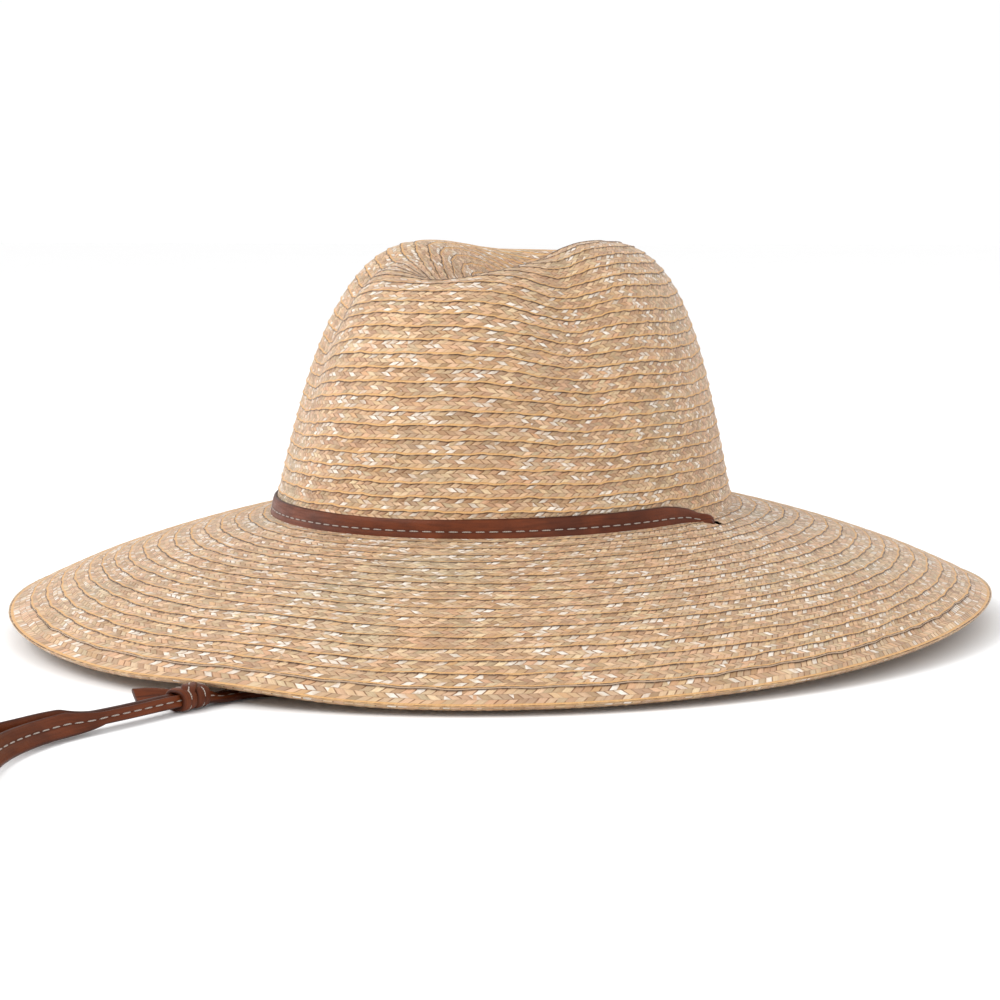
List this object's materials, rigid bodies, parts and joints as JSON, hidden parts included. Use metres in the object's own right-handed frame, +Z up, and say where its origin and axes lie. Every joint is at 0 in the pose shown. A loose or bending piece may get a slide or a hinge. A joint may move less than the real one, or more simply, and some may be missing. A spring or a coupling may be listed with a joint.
{
  "type": "straw sun hat",
  "caption": "Wide-brimmed sun hat of sewn straw braid with a creased crown, a stitched leather band, side eyelets and a leather chin strap with a sliding knot.",
  "frame": {"origin": "on the standing surface, under the middle of the brim's outline", "axes": "+Z up, -Y to the front of the hat, +X to the wearer's left"},
  "size_m": [0.379, 0.5805, 0.1462],
  "materials": {
    "straw": "sewn wheat straw braid, slightly glossy",
    "ribbon": "woven grosgrain",
    "leather": "smooth saddle brown, semi-gloss",
    "thread": "waxed thread",
    "nickel": "nickel plated"
  },
  "bodies": {
    "hat": {"crown_wall": "straw", "crown_shoulder": "straw", "crown_tip": "straw", "tip_button": "straw", "brim_inner": "straw", "brim_outer": "straw", "brim_edge": "straw", "sweatband": "ribbon", "leather_band": "leather", "band_stitching": "thread", "eyelet_left": "nickel", "eyelet_right": "nickel", "eyelet_washer_left": "nickel", "eyelet_washer_right": "nickel"},
    "chin_strap": {"chin_strap": "leather"},
    "slider_knot": {"slider_knot": "leather"}
  },
  "joints": [
    {"name": "chin_strap_swing", "type": "hinge", "parent": "hat", "child": "chin_strap", "pos_m": [0, -0.018, 0.0345], "axis": [1, 0, 0], "range_deg": [0, 80]},
    {"name": "knot_slide", "type": "slide", "parent": "chin_strap", "child": "slider_knot", "axis": [-0.2334, -0.9724, 0], "range_m": [0, 0.03]}
  ]
}
